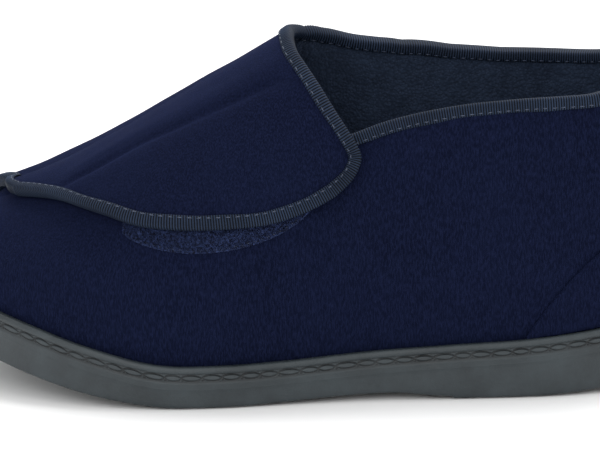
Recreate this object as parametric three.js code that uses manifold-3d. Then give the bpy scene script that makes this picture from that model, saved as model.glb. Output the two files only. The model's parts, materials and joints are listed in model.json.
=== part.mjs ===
// Wrap-over comfort slipper, left foot. Millimetres, +Z up, toe to -X, heel to +X,
// outer (lateral) side -Y, inner (medial) side +Y, origin under the middle of the sole.
import * as THREE from 'three';
import { mergeVertices } from 'three/addons/utils/BufferGeometryUtils.js';
import Module from 'manifold-3d';

const wasm = await Module();
wasm.setup();

// ---------------------------------------------------------------- driving sizes
const LENGTH = 264;            // outsole, toe tip to heel
const WIDTH = 104;             // outsole at its widest
const HEIGHT = 126.5;           // scale of the upper's height over the instep
const LIP_OUT = 3.5;           // sole lip beyond the upper
const CUP = 6;                 // depth of the cup the upper stands in
const GAP = 0.3;               // clearance between neighbouring layers
const TOE_SPRING = 20.5;       // rise of the tread at the toe tip
const HEEL_BEVEL = 5;          // rise of the tread at the back of the heel
const WAIST_RISE = 2.4;        // tread height under the waist
const BOARD = 2;               // insole board
const FOOTBED = 6;             // footbed at its lowest
const DISH = 2.5;              // footbed edge above its middle
const DISH_SPAN = 60;          // sole width where the dish reaches its full depth
const COVER = 1.2;             // towelling cover on the footbed
const UPPER = 1.3;             // velour upper
const FOAM = 1.3;              // foam inside the walls
const LINING = 1.2;            // towelling lining
const FLAP_OUTER = 0.8;        // velour of the flap
const FLAP_FOAM = 0.6;         // foam of the flap
const FLAP_LINING = 0.7;       // lining of the flap
const TAPE = 0.9;              // loop tape, hook tape and binding ribbon
const BINDING = 4.2;           // binding width on each face
const PATCH_GAP = 0.4;         // patches clear of the wall they are sewn to
const HOOK_GAP = 0.45;         // hook tape clear of the flap lining
const HOOK_CLEAR = 4.2;        // hook tape clear of the flap's binding
const PATCH = 1.1;             // heel patch
const SPINE = 0.86;            // length of the ridge line against the outline
const SQUARE = 2.4;            // superellipse exponent of the wall sections
const BULGE = 2.2;             // how far the wall swells beyond the outline
const LEAN = 5;                // shift of the ridge line to the inner side
const GROOVE = 1.6;            // tread groove depth
const GROOVE_WIDTH = 2.4;      // tread groove width
const SNUG = 0.7;              // clearance of the upper in the cup
const HINGE_PLAY = 0.6;        // clearance along the fold line

// layer faces, measured from the outer face of the upper
const WALL = layers(0, [UPPER, FOAM, LINING]);
const LOOP_TOP = GAP + TAPE;
const HOOK_TOP = LOOP_TOP + GAP + TAPE;
const FLAP_TOP = HOOK_TOP + HOOK_GAP + FLAP_LINING + GAP + FLAP_FOAM + GAP + FLAP_OUTER;
const FLAP = layers(FLAP_TOP, [FLAP_OUTER, FLAP_FOAM, FLAP_LINING]);

function layers(top, thicknesses) {
  let face = top;
  return thicknesses.map((thickness) => {
    const layer = { out: face, in: face - thickness };
    face = layer.in - GAP;
    return layer;
  });
}

// half outline from heel to toe: place along, outer half width, inner half width, lip height
const STATIONS = [
  [0.500, 0.000, 0.000, 27.0],
  [0.485, 0.130, 0.130, 26.4],
  [0.443, 0.240, 0.235, 24.6],
  [0.379, 0.303, 0.295, 22.4],
  [0.303, 0.337, 0.325, 20.6],
  [0.208, 0.360, 0.335, 19.4],
  [0.095, 0.385, 0.345, 17.7],
  [-0.010, 0.435, 0.385, 15.8],
  [-0.105, 0.485, 0.445, 15.0],
  [-0.190, 0.500, 0.490, 15.6],
  [-0.280, 0.465, 0.500, 20.9],
  [-0.360, 0.370, 0.455, 26.6],
  [-0.428, 0.240, 0.365, 31.2],
  [-0.477, 0.100, 0.235, 34.0],
  [-0.500, -0.060, 0.060, 35.0],
];
const TOE = STATIONS.length - 1;
const LAP = 2 * TOE;
const RING = [
  ...STATIONS.map(([along, outer, , lip]) => [along, -outer, lip]),
  ...STATIONS.slice(1, TOE).reverse().map(([along, , inner, lip]) => [along, inner, lip]),
];

// ---------------------------------------------------------------- curves
function spline(points, place, closed) {
  const last = points.length - 1;
  const at = (index) => points[closed ? (index + points.length) % points.length
    : Math.min(Math.max(index, 0), last)];
  const start = closed ? Math.floor(place) : Math.min(Math.floor(place), last - 1);
  const w = place - start;
  const [a, b, c, d] = [at(start - 1), at(start), at(start + 1), at(start + 2)];
  return b.map((value, axis) => 0.5 * (2 * value + (c[axis] - a[axis]) * w
    + (2 * a[axis] - 5 * value + 4 * c[axis] - d[axis]) * w * w
    + (3 * value - a[axis] - 3 * c[axis] + d[axis]) * w * w * w));
}

// value of a curve given as [place, value] pairs in rising order of place
function table(pairs, place) {
  let index = 0;
  while (index < pairs.length - 2 && place > pairs[index + 1][0]) index += 1;
  const [from, to] = [pairs[index], pairs[index + 1]];
  const share = (place - from[0]) / (to[0] - from[0]);
  return spline(pairs, index + Math.min(Math.max(share, 0), 1), false)[1];
}

function smooth(value) {
  const t = Math.min(Math.max(value, 0), 1);
  return t * t * (3 - 2 * t);
}

const mix = (a, b, t) => a + (b - a) * t;

// ---------------------------------------------------------------- the last
// lap runs 0 at the heel, TOE at the toe tip on the outer side, back to LAP on the inner side
function outline(lap, outward = 0) {
  const place = ((lap % LAP) + LAP) % LAP;
  const [along, across, lip] = spline(RING, place, true);
  const step = 0.001;
  const ahead = spline(RING, (place + step) % LAP, true);
  const behind = spline(RING, (place - step + LAP) % LAP, true);
  const x = along * (LENGTH - 2 * LIP_OUT);
  const y = across * (WIDTH - 2 * LIP_OUT);
  const dx = (ahead[0] - behind[0]) * (LENGTH - 2 * LIP_OUT);
  const dy = (ahead[1] - behind[1]) * (WIDTH - 2 * LIP_OUT);
  const span = Math.hypot(dx, dy);
  return { x: x - dy / span * outward, y: y + dx / span * outward, lip, nx: -dy / span, ny: dx / span };
}

function ridgeHeight(x) {
  const run = x / LENGTH + 0.375;
  return HEIGHT * (0.491 + 0.66 * (run + Math.hypot(run, 0.1))) - FLAP_TOP;
}

// rise runs 0 at the feather edge to 1 on the ridge line
function wall(lap, rise) {
  const foot = outline(lap);
  const across = outline(LAP - lap);
  const ridgeX = SPINE * foot.x;
  const reach = Math.min(Math.abs(foot.x) / (LENGTH / 2 - LIP_OUT), 1);
  const ridgeY = (foot.y + across.y) / 2 + LEAN * (1 - reach ** 4);
  const angle = Math.min(Math.max(rise, 0), 1) * Math.PI / 2;
  const inward = 1 - Math.cos(angle) ** (2 / SQUARE);
  const upward = Math.sin(angle) ** (2 / SQUARE);
  const bulge = BULGE * Math.sin(Math.PI * upward) ** 2;
  const feather = foot.lip - CUP;
  return new THREE.Vector3(
    mix(foot.x, ridgeX, inward) + foot.nx * bulge,
    mix(foot.y, ridgeY, inward) + foot.ny * bulge,
    mix(feather, ridgeHeight(ridgeX), upward),
  );
}

// offset point of the wall
function skin(lap, rise, offset) {
  const step = 0.004;
  // the ridge line ends in a point at the toe, so its direction is taken just below it
  const level = Math.abs(lap - TOE) < 1 ? Math.min(rise, 0.96) : rise;
  const low = Math.max(level - step, 0);
  const high = Math.min(level + step, 1);
  const around = wall(lap + step, level).sub(wall(lap - step, level));
  const up = wall(lap, high).sub(wall(lap, low));
  const normal = up.cross(around).normalize();
  return wall(lap, rise).addScaledVector(normal, offset);
}

// sweep runs 0 at the outer feather edge, 1 on the ridge, 2 at the inner feather edge
function over(place, sweep, offset) {
  return sweep <= 1 ? skin(place, sweep, offset) : skin(LAP - place, 2 - sweep, offset);
}

// ---------------------------------------------------------------- edges of the upper
const OUTER_TOP = [
  [0, 0.33], [1.5, 0.326], [2.58, 0.328], [3.48, 0.352], [4.29, 0.38], [5, 0.407], [5.73, 0.43],
  [6.3, 0.437], [7.2, 0.461], [8.4, 0.53], [9.6, 0.62], [10.8, 0.73], [11.6, 0.83], [12, 0.92],
  [12.45, 1],
];
const INNER_TOP = [
  [0, 0.335], [1.3, 0.343], [2.34, 0.359], [3.26, 0.391], [4.13, 0.43], [4.87, 0.484],
  [5.51, 0.552], [5.83, 0.598], [6.15, 0.65], [6.49, 0.732], [6.73, 0.8], [6.94, 0.87], [7.2, 0.9], [13, 0.9],
];
// front edge of the inner panel and the flap, as place against sweep
const FRONT_HEM = 0.668;       // sweep where the front edge meets the hem
const FRONT = [[FRONT_HEM, 11.32], [0.73, 11.72], [0.81, 12.2], [1, 12.6], [1.3, 12.4], [2, 11.4]];
const LOWER = [
  [11.32, FRONT_HEM], [10.68, 0.575], [10.19, 0.496], [9.77, 0.447], [9.41, 0.41], [9.03, 0.379],
  [8.33, 0.339], [7.67, 0.311], [7.23, 0.3], [6.81, 0.302], [6.47, 0.313],
];
const REAR = [
  [6.7, 1.28], [6.88, 1.12], [6.93, 0.95], [6.89, 0.813], [6.77, 0.708], [6.59, 0.597],
  [6.43, 0.512], [6.27, 0.443], [6.17, 0.402], [6.13, 0.37], [6.24, 0.336], [6.47, 0.313],
];
const FLAP_DROP = 60;          // fold to hem in the middle of the flap
const HOOK_LOW = 1 - (BINDING + HOOK_CLEAR) / FLAP_DROP;
const FOLD_REAR = 6.83;
const FOLD_FRONT_SWEEP = 1.2;
const FOLD_REAR_SWEEP = 1.15;

function frontPlace(sweep) {
  return table(FRONT, sweep);
}

// how far the inner wall has risen from wall level to flap level
function lift(place, rise) {
  const upward = smooth((rise - 0.12) / 0.7);
  return upward * smooth((place - 3.6) / 3.2);
}

function lifted(layer, place, rise) {
  const share = lift(place, rise);
  return {
    out: mix(WALL[layer].out, FLAP[layer].out, share),
    in: mix(WALL[layer].in, FLAP[layer].in, share),
  };
}

// flap surface: along 0 at the front edge to 1 at the rear, down 0 at the fold to 1 at the hem
function flapPlace(along, down) {
  const frontAt = (t) => {
    const sweep = mix(1.3, FRONT_HEM, t);
    return [frontPlace(sweep), sweep];
  };
  const rearAt = (t) => spline(REAR, t * (REAR.length - 1), false);
  const foldAt = (t) => [mix(frontPlace(1.3), 6.7, t), mix(1.3, 1.28, t)];
  const hemAt = (t) => spline(LOWER, t * (LOWER.length - 1), false);
  return [0, 1].map((axis) => (1 - along) * frontAt(down)[axis] + along * rearAt(down)[axis]
    + (1 - down) * foldAt(along)[axis] + down * hemAt(along)[axis]
    - (1 - along) * (1 - down) * frontAt(0)[axis] - along * (1 - down) * rearAt(0)[axis]
    - (1 - along) * down * frontAt(1)[axis] - along * down * rearAt(1)[axis]);
}

// ---------------------------------------------------------------- solids from faces
class Soup {
  constructor() {
    this.corners = [];
  }

  triangle(a, b, c) {
    const area = new THREE.Triangle(a, b, c).getArea();
    if (area > 1e-7) this.corners.push(a, b, c);
  }

  quad(a, b, c, d) {
    this.triangle(a, b, c);
    this.triangle(a, c, d);
  }

  geometry() {
    let volume = 0;
    for (let i = 0; i < this.corners.length; i += 3) {
      const [a, b, c] = this.corners.slice(i, i + 3);
      volume += a.dot(b.clone().cross(c));
    }
    const flat = [];
    for (let i = 0; i < this.corners.length; i += 3) {
      const [a, b, c] = this.corners.slice(i, i + 3);
      const order = volume > 0 ? [a, b, c] : [a, c, b];
      order.forEach((corner) => flat.push(corner.x, corner.y, corner.z));
    }
    const made = new THREE.BufferGeometry();
    made.setAttribute('position', new THREE.Float32BufferAttribute(flat, 3));
    return made;
  }
}

const range = (count) => Array.from({ length: count + 1 }, (_, index) => index / count);

// closed sheet between two offset faces over a grid; point(u, v, side) with side 0 out, 1 in;
// from column closedFrom on, the top edge meets itself and has no wall
function sheet(us, vs, point, closedFrom = us.length) {
  const soup = new Soup();
  const faces = [0, 1].map((side) => us.map((u) => vs.map((v) => point(u, v, side))));
  const [out, inner] = faces;
  const [lastU, lastV] = [us.length - 1, vs.length - 1];
  for (let i = 0; i < lastU; i += 1) {
    for (let j = 0; j < lastV; j += 1) {
      soup.quad(out[i][j], out[i + 1][j], out[i + 1][j + 1], out[i][j + 1]);
      soup.quad(inner[i][j], inner[i][j + 1], inner[i + 1][j + 1], inner[i + 1][j]);
    }
    soup.quad(out[i][0], inner[i][0], inner[i + 1][0], out[i + 1][0]);
    if (i < closedFrom) soup.quad(out[i][lastV], out[i + 1][lastV], inner[i + 1][lastV], inner[i][lastV]);
  }
  for (let j = 0; j < lastV; j += 1) {
    soup.quad(out[0][j], out[0][j + 1], inner[0][j + 1], inner[0][j]);
    soup.quad(out[lastU][j], inner[lastU][j], inner[lastU][j + 1], out[lastU][j + 1]);
  }
  return soup.geometry();
}

// closed bar through a row of sections, each an array of points in the same order
function bar(sections, flatSection) {
  const soup = new Soup();
  const count = flatSection.length;
  for (let i = 0; i < sections.length - 1; i += 1) {
    for (let j = 0; j < count; j += 1) {
      const next = (j + 1) % count;
      soup.quad(sections[i][j], sections[i][next], sections[i + 1][next], sections[i + 1][j]);
    }
  }
  const contour = flatSection.map(([a, b]) => new THREE.Vector2(a, b));
  const contourArea = THREE.ShapeUtils.area(contour);
  const [start, end] = [sections[0], sections[sections.length - 1]];
  THREE.ShapeUtils.triangulateShape(contour, []).forEach(([a, b, c]) => {
    const sameWay = THREE.ShapeUtils.area([contour[a], contour[b], contour[c]]) * contourArea > 0;
    const [first, second] = sameWay ? [b, c] : [c, b];
    soup.triangle(end[a], end[first], end[second]);
    soup.triangle(start[a], start[second], start[first]);
  });
  return soup.geometry();
}

// closed body through a stack of rings round the sole, lidded across at both ends
function stack(rings, across, startLid, endLid) {
  const soup = new Soup();
  const count = rings[0].length;
  for (let level = 0; level < rings.length - 1; level += 1) {
    for (let i = 0; i < count; i += 1) {
      const next = (i + 1) % count;
      soup.quad(rings[level][i], rings[level][next], rings[level + 1][next], rings[level + 1][i]);
    }
  }
  lid(soup, rings[0], across, startLid, false);
  lid(soup, rings[rings.length - 1], across, endLid, true);
  return soup.geometry();
}

function lid(soup, ring, across, shape, turned) {
  const half = ring.length / 2;
  const rows = range(half).map((share) => {
    const index = Math.round(share * half);
    const [from, to] = [ring[index], ring[(ring.length - index) % ring.length]];
    return range(across).map((t) => {
      const point = from.clone().lerp(to, t);
      point.z -= shape * Math.min(from.distanceTo(to) / DISH_SPAN, 1) * Math.sin(Math.PI * t);
      return point;
    });
  });
  for (let i = 0; i < half; i += 1) {
    for (let j = 0; j < across; j += 1) {
      const corners = [rows[i][j], rows[i][j + 1], rows[i + 1][j + 1], rows[i + 1][j]];
      if (turned) corners.reverse();
      soup.quad(corners[0], corners[1], corners[2], corners[3]);
    }
  }
}

// ---------------------------------------------------------------- joining and cutting
function solid(geometry) {
  const bare = new THREE.BufferGeometry();
  bare.setAttribute('position', geometry.attributes.position);
  if (geometry.index) bare.setIndex(geometry.index);
  const merged = mergeVertices(bare, 1e-4);
  return new wasm.Manifold(new wasm.Mesh({
    numProp: 3,
    vertProperties: new Float32Array(merged.attributes.position.array),
    triVerts: new Uint32Array(merged.index.array),
  }));
}

function surface(manifold) {
  const mesh = manifold.getMesh();
  const made = new THREE.BufferGeometry();
  made.setAttribute('position', new THREE.BufferAttribute(new Float32Array(mesh.vertProperties), 3));
  made.setIndex(new THREE.BufferAttribute(new Uint32Array(mesh.triVerts), 1));
  return made;
}

function cut(geometry, cutters) {
  let body = solid(geometry);
  cutters.forEach((cutter) => {
    body = body.subtract(solid(cutter));
  });
  return surface(body);
}

// ---------------------------------------------------------------- the fold line of the flap
const AXIS_OFFSET = FLAP_TOP + GAP + TAPE + 0.1;
const foldFront = over(frontPlace(FOLD_FRONT_SWEEP), FOLD_FRONT_SWEEP, AXIS_OFFSET);
const foldRear = over(FOLD_REAR, FOLD_REAR_SWEEP, AXIS_OFFSET);
const foldAxis = foldFront.clone().sub(foldRear).normalize();
const foldDown = over(9.5, 1.17, 0).sub(over(9.5, 1.17, 10)).normalize();
const foldSide = foldAxis.clone().cross(foldDown).normalize();

// block filling one side of the fold plane; side +1 or -1
function foldBlock(side) {
  const reach = 160;
  const length = foldFront.distanceTo(foldRear) + 60;
  const block = new THREE.BoxGeometry(length, reach, reach);
  const frame = new THREE.Matrix4().makeBasis(foldAxis, foldSide, foldAxis.clone().cross(foldSide));
  block.applyMatrix4(frame);
  const middle = foldFront.clone().lerp(foldRear, 0.5).addScaledVector(foldAxis, 22);
  middle.addScaledVector(foldSide, side * (reach / 2 - HINGE_PLAY / 2));
  block.translate(middle.x, middle.y, middle.z);
  return block;
}

const INNER_SIDE = Math.sign(foldSide.y);

// ---------------------------------------------------------------- walls
const HEEL_SEAM = 0.03;        // half the butt joint at the heel, in laps
const SEAM_GAP = 0.02;         // half the butt joint at the front seam, in laps
const UNDERLAP = 0.2;          // toe panel running back beneath the flap's front, in laps
const THROAT_END = toeEdge(1); // place where the throat edge reaches the ridge
const TOE_SHARES = range(5);
const PLACES_OUTER = [...range(27).map((share) => mix(HEEL_SEAM, 11.9, share)), 12.15,
  ...TOE_SHARES.map((share) => mix(THROAT_END, TOE, share))];
const SHARES_INNER = [...range(28), 15.5 / 28, 16.5 / 28].sort((a, b) => a - b);
const RISES = [0, 0.13, 0.3, 0.48, 0.66, 0.82, 0.93, 1];

// back edge of the toe panel on the inner side
function toeEdge(sweep) {
  return frontPlace(sweep) + SEAM_GAP - UNDERLAP * smooth((1.4 - sweep) / 0.2);
}

function outerTop(place) {
  return place >= THROAT_END ? 1 : table(OUTER_TOP, place);
}

function outerWall(layer, from, to) {
  const places = PLACES_OUTER.filter((place) => place > from && place < to);
  return sheet(places, RISES, (place, v, side) => (
    over(place, v * outerTop(place), side ? WALL[layer].in : WALL[layer].out)));
}

// one panel from the heel seam round the toe to the front seam, closed over the ridge at the toe
function outerPanel(layer) {
  const outer = PLACES_OUTER.map((place) => (v) => [place, v * outerTop(place)]);
  const inner = TOE_SHARES.slice(1).map((share) => (v) => [mix(TOE, toeEdge(2 - v), share), 2 - v]);
  const closedFrom = outer.length - TOE_SHARES.length;
  return sheet([...outer, ...inner], RISES, (column, v, side) => {
    const [place, sweep] = column(v);
    return over(place, sweep, side ? WALL[layer].in : WALL[layer].out);
  }, closedFrom);
}

function innerPlace(share, rise) {
  return mix(HEEL_SEAM, frontPlace(2 - rise) - SEAM_GAP, share);
}

function innerPanel(layer, from, to, rises = RISES) {
  const raw = sheet(SHARES_INNER.filter((u) => u > from - 0.001 && u < to + 0.001), rises, (u, v, side) => {
    const top = table(INNER_TOP, innerPlace(u, 0.8));
    const place = innerPlace(u, v * top);
    const faces = lifted(layer, place, v * top);
    return skin(LAP - place, v * top, side ? faces.in : faces.out);
  });
  return cut(raw, [foldBlock(-INNER_SIDE)]);
}

// stiff cap in the foam layer round the heel
function heelCounter() {
  return sheet(range(24), [0, 0.25, 0.5, 0.75, 1], (u, v, side) => {
    const lap = mix(-2.9, 2.9, u);
    const edge = 0.3 * (0.55 + 0.45 * Math.sin(Math.PI * u));
    return skin(lap, v * edge, side ? WALL[1].in : WALL[1].out);
  });
}

function toePuff() {
  return sheet(range(16), [0, 0.3, 0.6, 1], (u, v, side) => (
    skin(mix(12.5, 15.3, u), v * 0.5, side ? WALL[1].in + GAP / 2 : WALL[1].out - GAP)));
}

function heelPatch() {
  const half = 3.55;
  return sheet(range(18), [0, 0.5, 1], (u, v, side) => {
    const lap = mix(-half, half, u);
    const edge = 0.0955 * (1 - (Math.abs(lap) / 3.75) ** 3.2);
    const low = 0.0305;
    return skin(lap, mix(low, low + edge, v), side ? PATCH_GAP : PATCH_GAP + PATCH);
  });
}

function loopPatch() {
  return sheet(range(12), [0, 0.5, 1], (u, v, side) => {
    const place = mix(6.7, 9.55, u);
    const bow = Math.sqrt(Math.max(1 - (2 * u - 1) ** 2, 0));
    const low = 0.325 - 0.1 * bow + 0.085 * u;
    const high = 0.37 + 0.04 * bow + 0.06 * u;
    return skin(place, mix(low, high, v), side ? GAP : LOOP_TOP);
  });
}

// ---------------------------------------------------------------- flap
const FLAP_ALONG = range(22);
const FLAP_DOWN = [0, 0.14, 0.26, 0.38, 0.5, 0.62, 0.73, 0.83, 0.91, 0.96, 1];

function flapLayer(layer) {
  const raw = sheet(FLAP_ALONG, FLAP_DOWN, (along, down, side) => {
    const [place, sweep] = flapPlace(along, down);
    return over(place, sweep, side ? FLAP[layer].in : FLAP[layer].out);
  });
  return cut(raw, [foldBlock(INNER_SIDE)]);
}

function hookPatch() {
  return sheet(range(12), range(3), (u, v, side) => {
    const [place, sweep] = flapPlace(mix(0.38, 0.8, u), mix(0.72, HOOK_LOW, v));
    return over(place, sweep, side ? HOOK_TOP - TAPE : HOOK_TOP);
  });
}

// ---------------------------------------------------------------- bindings
// folded ribbon round an edge; the path gives place and sweep, the faces give the stack's top and bottom
function binding(path, facesAt, point, slack = GAP, ribbon = TAPE, inner = slack) {
  const far = slack + ribbon;
  const deep = inner + ribbon;
  // inset from the edge, face it follows (0 top, 1 bottom), height beyond that face
  const section = [
    [BINDING, 0, far], [0, 0, far], [-far, 0, slack], [-far, 1, inner], [0, 1, deep],
    [BINDING, 1, deep], [BINDING, 1, inner], [-slack, 1, inner], [-slack, 0, slack], [BINDING, 0, slack],
  ];
  return ribbonBar(path, section, point, facesAt);
}

function ribbonBar(path, section, point, facesAt) {
  const placed = ([inset, face, height], spot, step) => {
    const place = spot[0] + step[0] * inset;
    const sweep = spot[1] + step[1] * inset;
    const { top, bottom } = facesAt([place, sweep]);
    return [place, sweep, face ? bottom - height : top + height];
  };
  const sections = path.map((spot, index) => {
    const before = path[Math.max(index - 1, 0)];
    const after = path[Math.min(index + 1, path.length - 1)];
    const step = inwardStep(spot, before, after, point);
    return section.map((corner) => point(...placed(corner, spot, step)));
  });
  const thickness = facesAt(path[0]).top - facesAt(path[0]).bottom;
  return bar(sections, section.map(([inset, face, height]) => [inset, face ? -thickness - height : height]));
}

// change of place and sweep for one millimetre inward, square to the path, to its left
function inwardStep(spot, before, after, point) {
  const nudge = 0.01;
  const here = (place, sweep) => point(place, sweep, 0);
  const byPlace = here(spot[0] + nudge, spot[1]).sub(here(spot[0] - nudge, spot[1])).divideScalar(2 * nudge);
  const bySweep = here(spot[0], spot[1] + nudge).sub(here(spot[0], spot[1] - nudge)).divideScalar(2 * nudge);
  const along = here(after[0], after[1]).sub(here(before[0], before[1])).normalize();
  const normal = bySweep.clone().cross(byPlace).normalize();
  const inward = normal.clone().cross(along).normalize();
  const [aa, ab, bb] = [byPlace.dot(byPlace), byPlace.dot(bySweep), bySweep.dot(bySweep)];
  const [pa, pb] = [inward.dot(byPlace), inward.dot(bySweep)];
  const det = aa * bb - ab * ab;
  return [(pa * bb - pb * ab) / det, (pb * aa - pa * ab) / det];
}

const flapFaces = () => ({ top: FLAP[0].out, bottom: FLAP[2].in });
const wallFaces = () => ({ top: WALL[0].out, bottom: WALL[2].in });

function liftedFaces([lap, rise]) {
  const place = LAP - lap;
  return { top: lifted(0, place, rise).out, bottom: lifted(2, place, rise).in };
}

function flapBinding() {
  const path = [
    ...FLAP_DOWN.map((down) => flapPlace(0, down)),
    ...FLAP_ALONG.slice(1, -1).map((along) => flapPlace(along, 1)),
    ...[...FLAP_DOWN].reverse().map((down) => flapPlace(1, down)),
  ];
  return cut(binding(path, flapFaces, over, 0.35, 0.85), [foldBlock(INNER_SIDE)]);
}

function innerEdge(share) {
  const top = table(INNER_TOP, innerPlace(share, 0.8));
  return [LAP - innerPlace(share, top), top];
}

const COLLAR_END = 6.7;        // place where the collar's ribbon ends and the throat's begins
const INNER_COLLAR_END = 16 / 28;

const outerEdge = (place) => [place, outerTop(place)];

function collarBinding() {
  const outer = PLACES_OUTER.filter((place) => place <= COLLAR_END).map(outerEdge);
  const inner = SHARES_INNER.filter((u) => u <= INNER_COLLAR_END).map((u) => innerEdge(u));
  const path = [...inner.reverse().map(([lap, rise]) => [lap - LAP, rise]), ...outer];
  const faces = ([lap, rise]) => (lap < 0 ? liftedFaces([lap + LAP, rise]) : wallFaces());
  const ribbon = binding(path, faces, skin, 0.5, 0.8, 0.8);
  return cut(ribbon, [foldBlock(-INNER_SIDE)]);
}

function throatBinding() {
  const path = PLACES_OUTER.filter((place) => place > COLLAR_END && place < 12.3).map(outerEdge);
  return binding(path, wallFaces, over, 0.6, 0.6);
}

// ribbon over the front edge of the inner panel, from the sole to the fold
function seamBinding() {
  const rises = [0.075, 0.15, 0.26, 0.38, 0.5, 0.6, 0.7, 0.78, 0.86, 0.9];
  const path = rises.map((rise) => [LAP - frontPlace(2 - rise), rise]);
  const section = [
    [BINDING, 0, GAP + TAPE], [-GAP - TAPE, 0, GAP + TAPE], [-GAP - TAPE, 1, 0],
    [-GAP, 1, 0], [-GAP, 0, GAP], [BINDING, 0, GAP],
  ];
  const faces = (spot) => ({ top: Math.max(liftedFaces(spot).top, 0.1), bottom: 0.45 });
  return cut(ribbonBar(path, section, skin, faces), [foldBlock(-INNER_SIDE)]);
}

// ---------------------------------------------------------------- sole and insole
const BREAST = 0.204;          // front of the heel, as a share of the length
const SOLE_PLACES = [0, 0.35, 0.7, 1.05, 1.4, 1.75, 2.1, 2.5, 3, 3.5, 4, 4.6, 5.3, 5.37, 5.9, 6.5, 7,
  7.4, 7.8, 8.2, 8.6, 9, 9.4, 9.8, 10.2, 10.6, 11, 11.35, 11.7, 12.05, 12.4, 12.75, 13.1, 13.4, 13.7, 14];
const SOLE_LAPS = [...SOLE_PLACES, ...SOLE_PLACES.slice(1, -1).reverse().map((place) => LAP - place)];

function tread(x) {
  const toe = Math.max(-x / LENGTH - 0.16, 0) / 0.34;
  const heel = Math.max(x / LENGTH - 0.31, 0) / 0.19;
  const hollow = smooth((x / LENGTH + 0.1) / 0.23) * (1 - 0.7 * smooth((x / LENGTH - 0.12) / 0.08));
  const waist = x / LENGTH < BREAST ? hollow : 0;
  return TOE_SPRING * toe ** 1.5 + HEEL_BEVEL * heel ** 1.6 + WAIST_RISE * waist;
}

function ring(outward, height) {
  return SOLE_LAPS.map((lap) => {
    const foot = outline(lap, outward);
    return new THREE.Vector3(foot.x, foot.y, height(outline(lap)));
  });
}

function outsole() {
  const down = (depth) => (foot) => foot.lip - depth;
  const up = (height) => (foot) => tread(foot.x) + height;
  const rings = [
    ring(-3, up(0)), ring(1.2, up(0.2)), ring(2.1, up(1.6)), ring(2.6, down(5.6)), ring(2.6, down(3)),
    ring(LIP_OUT, down(2.5)), ring(LIP_OUT, down(0.8)), ring(2.7, down(0)), ring(SNUG + 0.3, down(0)),
    ring(SNUG, down(0.6)), ring(SNUG, down(CUP + GAP)),
  ];
  const block = stack(rings, 1, 0, 0);
  return cut(block, treadGrooves());
}

function treadGrooves() {
  const bar = (x, half) => {
    const groove = new THREE.BoxGeometry(GROOVE_WIDTH, 2 * half, 2 * GROOVE);
    groove.translate(x, 0, tread(x));
    return groove;
  };
  const fore = [-0.29, -0.25, -0.21, -0.17, -0.13, -0.09].map((share) => bar(share * LENGTH, 0.34 * WIDTH));
  const rear = [0.24, 0.28, 0.32, 0.36, 0.4].map((share) => bar(share * LENGTH, 0.2 * WIDTH));
  return [...fore, ...rear];
}

// plate lying in the cup, inset from the upper, with its top dished by the given depth
function plate(inset, low, high, lowDish, highDish, across = 4) {
  const level = (height) => (foot) => foot.lip - CUP + height;
  return stack([ring(-inset, level(low)), ring(-inset, level(high))], across, lowDish, highDish);
}

const STACK_DEPTH = UPPER + FOAM + LINING + 3 * GAP;
const BOARD_TOP = BOARD;
const BED_LOW = BOARD_TOP + GAP;
const BED_TOP = BED_LOW + FOOTBED + DISH;
const COVER_LOW = BED_TOP + GAP;

// ---------------------------------------------------------------- looks and assembly
const VELOUR = { color: 0x141a2c, roughness: 0.95 };
const TOWEL = { color: 0x1a212e, roughness: 1 };
const RIBBON = { color: 0x222b3c, roughness: 0.75 };
const FOAMED = { color: 0x8f9194, roughness: 0.9 };
const RUBBER = { color: 0x464c50, roughness: 0.6 };
const BOARDED = { color: 0x9b8d74, roughness: 0.9 };
const TAPED = { color: 0x1a2037, roughness: 0.9 };

function piece(name, geometry, look) {
  const material = new THREE.MeshStandardMaterial({ ...look, metalness: 0 });
  const mesh = new THREE.Mesh(geometry, material);
  mesh.name = name;
  return mesh;
}

const slipper = new THREE.Group();
slipper.name = 'slipper';
slipper.add(
  piece('outsole', outsole(), RUBBER),
  piece('insole_board', plate(STACK_DEPTH, 0, BOARD_TOP, 0, 0, 1), BOARDED),
  piece('footbed', plate(STACK_DEPTH, BED_LOW, BED_TOP, 0, DISH), FOAMED),
  piece('footbed_cover', plate(STACK_DEPTH, COVER_LOW, COVER_LOW + COVER, DISH, DISH), TOWEL),
  piece('lateral_upper', outerPanel(0), VELOUR),
  piece('medial_upper', innerPanel(0, 0, 1), VELOUR),
  piece('heel_patch', heelPatch(), VELOUR),
  piece('lateral_foam', outerWall(1, 3, 12), FOAMED),
  piece('medial_foam', innerPanel(1, 8 / 28, 25.5 / 28), FOAMED),
  piece('heel_counter', heelCounter(), BOARDED),
  piece('toe_puff', toePuff(), BOARDED),
  piece('lateral_lining', outerPanel(2), TOWEL),
  piece('medial_lining', innerPanel(2, 0, 1), TOWEL),
  piece('collar_binding', collarBinding(), RIBBON),
  piece('throat_binding', throatBinding(), RIBBON),
  piece('seam_binding', seamBinding(), RIBBON),
  piece('loop_patch', loopPatch(), TAPED),
  piece('flap_outer', flapLayer(0), VELOUR),
  piece('flap_foam', flapLayer(1), FOAMED),
  piece('flap_lining', flapLayer(2), TOWEL),
  piece('flap_binding', flapBinding(), RIBBON),
  piece('hook_patch', hookPatch(), TAPED),
);

export default slipper;
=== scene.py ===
import json
import math

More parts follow.
